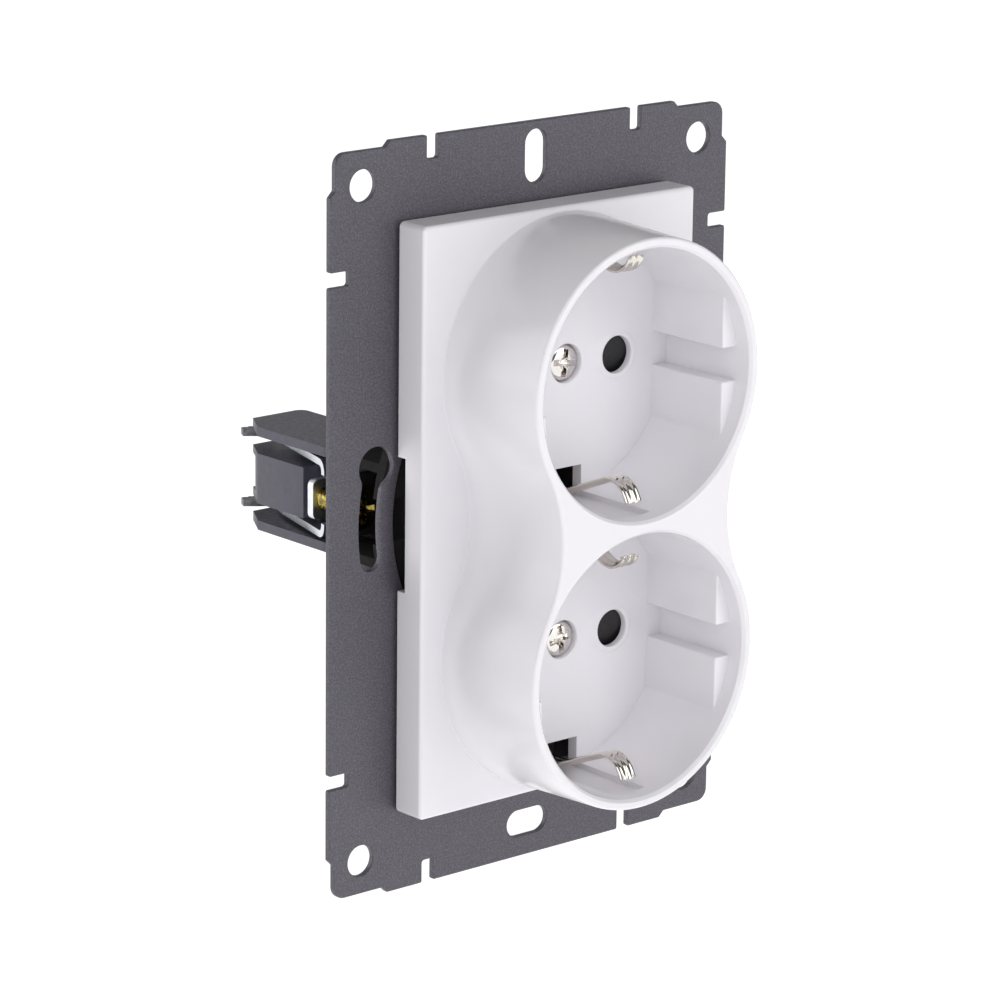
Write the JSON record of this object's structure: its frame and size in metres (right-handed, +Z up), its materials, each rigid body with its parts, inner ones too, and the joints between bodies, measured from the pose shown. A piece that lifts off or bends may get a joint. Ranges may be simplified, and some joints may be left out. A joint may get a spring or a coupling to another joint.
{
  "type": "duplex wall outlet",
  "caption": "Duplex earthed wall outlet: steel mounting plate, white cover with two round plug recesses, rear housing with claws.",
  "frame": {"origin": "centre of the mounting plate's back face, on the wall plane", "axes": "+X to the right seen from the front, +Y into the wall, +Z up; the sockets face -Y"},
  "size_m": [0.074, 0.0637, 0.1086],
  "materials": {
    "plate_paint": "satin",
    "cover_plastic": "gloss",
    "dark_plastic": "satin",
    "shutter_plastic": "satin",
    "nickel_steel": "polished",
    "nickel_brass": "polished",
    "spring_steel": "bright",
    "brass": "bright",
    "zinc_steel": "bright",
    "yellow_zinc_steel": "bright"
  },
  "bodies": {
    "base": {"mounting_plate": "plate_paint", "front_cover": "cover_plastic", "front_insulator": "dark_plastic", "earth_strap": "nickel_brass", "earth_tail": "brass", "earth_tail_rivet": "zinc_steel", "housing_body": "dark_plastic", "housing_back": "dark_plastic", "clamp_screws": "zinc_steel", "strap_rivets": "zinc_steel", "clip_rivets": "zinc_steel", "back_screws": "zinc_steel", "contact_bar_line": "brass", "contact_bar_neutral": "brass", "shutter_spring_upper": "spring_steel", "shutter_spring_lower": "spring_steel"},
    "cover_screw_upper": {"cover_screw_upper": "nickel_steel"},
    "shutter_upper": {"shutter_upper": "shutter_plastic"},
    "earth_clip_upper_top": {"earth_clip_upper_top": "nickel_brass"},
    "earth_clip_upper_bottom": {"earth_clip_upper_bottom": "nickel_brass"},
    "cover_screw_lower": {"cover_screw_lower": "nickel_steel"},
    "shutter_lower": {"shutter_lower": "shutter_plastic"},
    "earth_clip_lower_top": {"earth_clip_lower_top": "nickel_brass"},
    "earth_clip_lower_bottom": {"earth_clip_lower_bottom": "nickel_brass"},
    "terminal_screw_neutral": {"terminal_screw_neutral": "zinc_steel"},
    "terminal_clamp_neutral": {"terminal_clamp_neutral": "zinc_steel"},
    "terminal_screw_earth": {"terminal_screw_earth": "zinc_steel"},
    "terminal_clamp_earth": {"terminal_clamp_earth": "zinc_steel"},
    "terminal_screw_line": {"terminal_screw_line": "zinc_steel"},
    "terminal_clamp_line": {"terminal_clamp_line": "zinc_steel"},
    "claw_screw_left": {"claw_screw_left": "yellow_zinc_steel"},
    "claw_nut_left": {"claw_nut_left": "zinc_steel"},
    "claw_left": {"claw_left": "zinc_steel"},
    "claw_screw_right": {"claw_screw_right": "yellow_zinc_steel"},
    "claw_nut_right": {"claw_nut_right": "zinc_steel"},
    "claw_right": {"claw_right": "zinc_steel"}
  },
  "joints": [
    {"name": "cover_screw_upper_turn", "type": "hinge", "parent": "base", "child": "cover_screw_upper", "pos_m": [0, -0.0062, 0.0206], "axis": [0, -1, 0], "range_deg": [0, 1800]},
    {"name": "shutter_upper_turn", "type": "hinge", "parent": "base", "child": "shutter_upper", "pos_m": [0, -0.0055, 0.0206], "axis": [0, -1, 0], "range_deg": [0, 38], "stiffness_Nm_per_rad": 0.004, "springref_deg": -20.05, "deforming": ["shutter_spring_upper"]},
    {"name": "earth_clip_upper_top_flex", "type": "hinge", "parent": "base", "child": "earth_clip_upper_top", "pos_m": [0, -0.0022, 0.0399], "axis": [-1, 0, 0], "range_deg": [0, 4.5], "stiffness_Nm_per_rad": 0.6, "springref_deg": -2.86},
    {"name": "earth_clip_upper_bottom_flex", "type": "hinge", "parent": "base", "child": "earth_clip_upper_bottom", "pos_m": [0, -0.0022, 0.0013], "axis": [1, 0, 0], "range_deg": [0, 4.5], "stiffness_Nm_per_rad": 0.6, "springref_deg": -2.86},
    {"name": "cover_screw_lower_turn", "type": "hinge", "parent": "base", "child": "cover_screw_lower", "pos_m": [0, -0.0062, -0.02], "axis": [0, -1, 0], "range_deg": [0, 1800]},
    {"name": "shutter_lower_turn", "type": "hinge", "parent": "base", "child": "shutter_lower", "pos_m": [0, -0.0055, -0.02], "axis": [0, -1, 0], "range_deg": [0, 38], "stiffness_Nm_per_rad": 0.004, "springref_deg": -20.05, "deforming": ["shutter_spring_lower"]},
    {"name": "earth_clip_lower_top_flex", "type": "hinge", "parent": "base", "child": "earth_clip_lower_top", "pos_m": [0, -0.0022, -0.0007], "axis": [-1, 0, 0], "range_deg": [0, 4.5], "stiffness_Nm_per_rad": 0.6, "springref_deg": -2.86},
    {"name": "earth_clip_lower_bottom_flex", "type": "hinge", "parent": "base", "child": "earth_clip_lower_bottom", "pos_m": [0, -0.0022, -0.0393], "axis": [1, 0, 0], "range_deg": [0, 4.5], "stiffness_Nm_per_rad": 0.6, "springref_deg": -2.86},
    {"name": "terminal_screw_neutral_turn", "type": "hinge", "parent": "base", "child": "terminal_screw_neutral", "pos_m": [-0.0114, 0.0161, 0.0206], "axis": [0, 0, -1], "range_deg": [0, 1800]},
    {"name": "terminal_clamp_neutral_lift", "type": "slide", "parent": "base", "child": "terminal_clamp_neutral", "axis": [0, 0, 1], "range_m": [0, 0.003]},
    {"name": "terminal_screw_earth_turn", "type": "hinge", "parent": "base", "child": "terminal_screw_earth", "pos_m": [0, 0.0161, 0.0206], "axis": [0, 0, -1], "range_deg": [0, 1800]},
    {"name": "terminal_clamp_earth_lift", "type": "slide", "parent": "base", "child": "terminal_clamp_earth", "axis": [0, 0, 1], "range_m": [0, 0.003]},
    {"name": "terminal_screw_line_turn", "type": "hinge", "parent": "base", "child": "terminal_screw_line", "pos_m": [0.0114, 0.0161, 0.0206], "axis": [0, 0, -1], "range_deg": [0, 1800]},
    {"name": "terminal_clamp_line_lift", "type": "slide", "parent": "base", "child": "terminal_clamp_line", "axis": [0, 0, 1], "range_m": [0, 0.003]},
    {"name": "claw_screw_left_turn", "type": "hinge", "parent": "base", "child": "claw_screw_left", "pos_m": [-0.0242, 0.0094, 0], "axis": [0, 1, 0], "range_deg": [0, 1620]},
    {"name": "claw_nut_left_slide", "type": "slide", "parent": "base", "child": "claw_nut_left", "axis": [0, -1, 0], "range_m": [0, 0.0027]},
    {"name": "claw_left_swing", "type": "hinge", "parent": "claw_nut_left", "child": "claw_left", "pos_m": [-0.022, 0.0164, 0], "axis": [0, 0, 1], "range_deg": [0, 15]},
    {"name": "claw_screw_right_turn", "type": "hinge", "parent": "base", "child": "claw_screw_right", "pos_m": [0.0242, 0.0094, 0], "axis": [0, 1, 0], "range_deg": [0, 1620]},
    {"name": "claw_nut_right_slide", "type": "slide", "parent": "base", "child": "claw_nut_right", "axis": [0, -1, 0], "range_m": [0, 0.0027]},
    {"name": "claw_right_swing", "type": "hinge", "parent": "claw_nut_right", "child": "claw_right", "pos_m": [0.022, 0.0164, 0], "axis": [0, 0, -1], "range_deg": [0, 15]}
  ],
  "couplings": [
    {"joint": "terminal_screw_neutral_turn", "follows": "terminal_clamp_neutral_lift", "rad_per_m": 10472},
    {"joint": "terminal_screw_earth_turn", "follows": "terminal_clamp_earth_lift", "rad_per_m": 10472},
    {"joint": "terminal_screw_line_turn", "follows": "terminal_clamp_line_lift", "rad_per_m": 10472},
    {"joint": "claw_screw_left_turn", "follows": "claw_nut_left_slide", "rad_per_m": 10472},
    {"joint": "claw_left_swing", "follows": "claw_nut_left_slide", "rad_per_m": 96.9},
    {"joint": "claw_screw_right_turn", "follows": "claw_nut_right_slide", "rad_per_m": 10472},
    {"joint": "claw_right_swing", "follows": "claw_nut_right_slide", "rad_per_m": 96.9}
  ]
}
